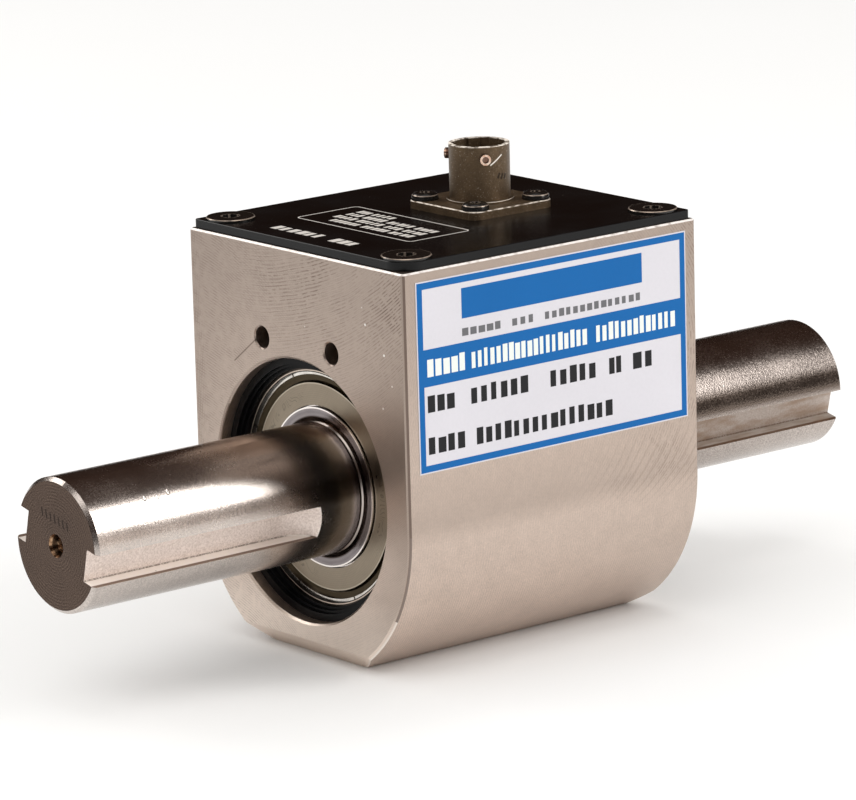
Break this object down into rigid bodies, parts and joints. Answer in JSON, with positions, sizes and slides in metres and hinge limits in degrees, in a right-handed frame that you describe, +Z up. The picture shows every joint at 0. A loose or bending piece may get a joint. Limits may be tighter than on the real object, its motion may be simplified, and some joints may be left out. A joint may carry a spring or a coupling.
{
  "type": "rotary torque sensor",
  "caption": "Rotary torque sensor: keyed through-shaft on shielded ball bearings in a machined block, with slip rings inside and a bayonet connector on its cover plate.",
  "frame": {"origin": "middle of the flat foot under the housing, on the surface that it stands on", "axes": "+X along the shaft from the active end to the drive end, +Z up through the cover plate and connector, label on the -Y side"},
  "size_m": [0.1852, 0.0644, 0.0927],
  "materials": {
    "housing_steel": "fine milled, satin",
    "shaft_steel": "ground, satin",
    "black_anodised": "black anodised, smooth",
    "black_screw": "black oxide",
    "olive_shell": "olive plated, satin",
    "insert_plastic": "moulded",
    "contact_gold": "gold plated",
    "copper_pins": "bright copper",
    "label_sheet": "printed sheet, satin",
    "bearing_steel": "ground",
    "inner_ring_steel": "ground",
    "shield_steel": "pressed, satin",
    "wire_steel": "bright",
    "ring_black": "black oxide, oily",
    "spring_steel": "rolled",
    "ball_steel": "polished",
    "cage_plastic": "moulded",
    "sleeve_plastic": "moulded",
    "ring_silver": "bright silver",
    "gauge_foil": "foil on film",
    "block_plastic": "moulded",
    "brush_carbon": "sintered",
    "leaf_copper": "rolled",
    "board_laminate": "laminate",
    "lead_insulation": "wire insulation"
  },
  "bodies": {
    "housing_body": {"housing": "housing_steel", "top_cover": "black_anodised", "cover_screws": "black_screw", "connector_shell": "olive_shell", "connector_insert": "insert_plastic", "connector_contacts": "contact_gold", "connector_bayonet_pins": "copper_pins", "connector_screws": "black_screw", "side_label": "label_sheet", "active_outer_ring": "bearing_steel", "active_shields": "shield_steel", "active_snap_wires": "wire_steel", "active_retaining_ring": "ring_black", "drive_outer_ring": "bearing_steel", "drive_shields": "shield_steel", "drive_snap_wires": "wire_steel", "drive_retaining_ring": "ring_black", "wave_spring": "spring_steel", "brush_block": "block_plastic", "brushes": "brush_carbon", "brush_springs": "leaf_copper", "brush_block_screws": "black_screw", "terminal_board": "board_laminate", "lead_wires": "lead_insulation"},
    "rotor": {"shaft": "shaft_steel", "active_inner_ring": "inner_ring_steel", "drive_inner_ring": "inner_ring_steel", "slip_ring_sleeve": "sleeve_plastic", "slip_rings": "ring_silver", "strain_gauges": "gauge_foil"},
    "active_ball_set": {"active_balls": "ball_steel", "active_ball_cage": "cage_plastic"},
    "drive_ball_set": {"drive_balls": "ball_steel", "drive_ball_cage": "cage_plastic"}
  },
  "joints": [
    {"name": "shaft_spin", "type": "hinge", "parent": "housing_body", "child": "rotor", "pos_m": [0, 0, 0.0322], "axis": [1, 0, 0], "continuous": true},
    {"name": "active_balls_orbit", "type": "hinge", "parent": "housing_body", "child": "active_ball_set", "pos_m": [-0.02465, 0, 0.0322], "axis": [1, 0, 0], "continuous": true},
    {"name": "drive_balls_orbit", "type": "hinge", "parent": "housing_body", "child": "drive_ball_set", "pos_m": [0.02465, 0, 0.0322], "axis": [1, 0, 0], "continuous": true}
  ],
  "couplings": [
    {"joint": "active_balls_orbit", "follows": "shaft_spin", "ratio": 0.4016},
    {"joint": "drive_balls_orbit", "follows": "shaft_spin", "ratio": 0.4016}
  ]
}
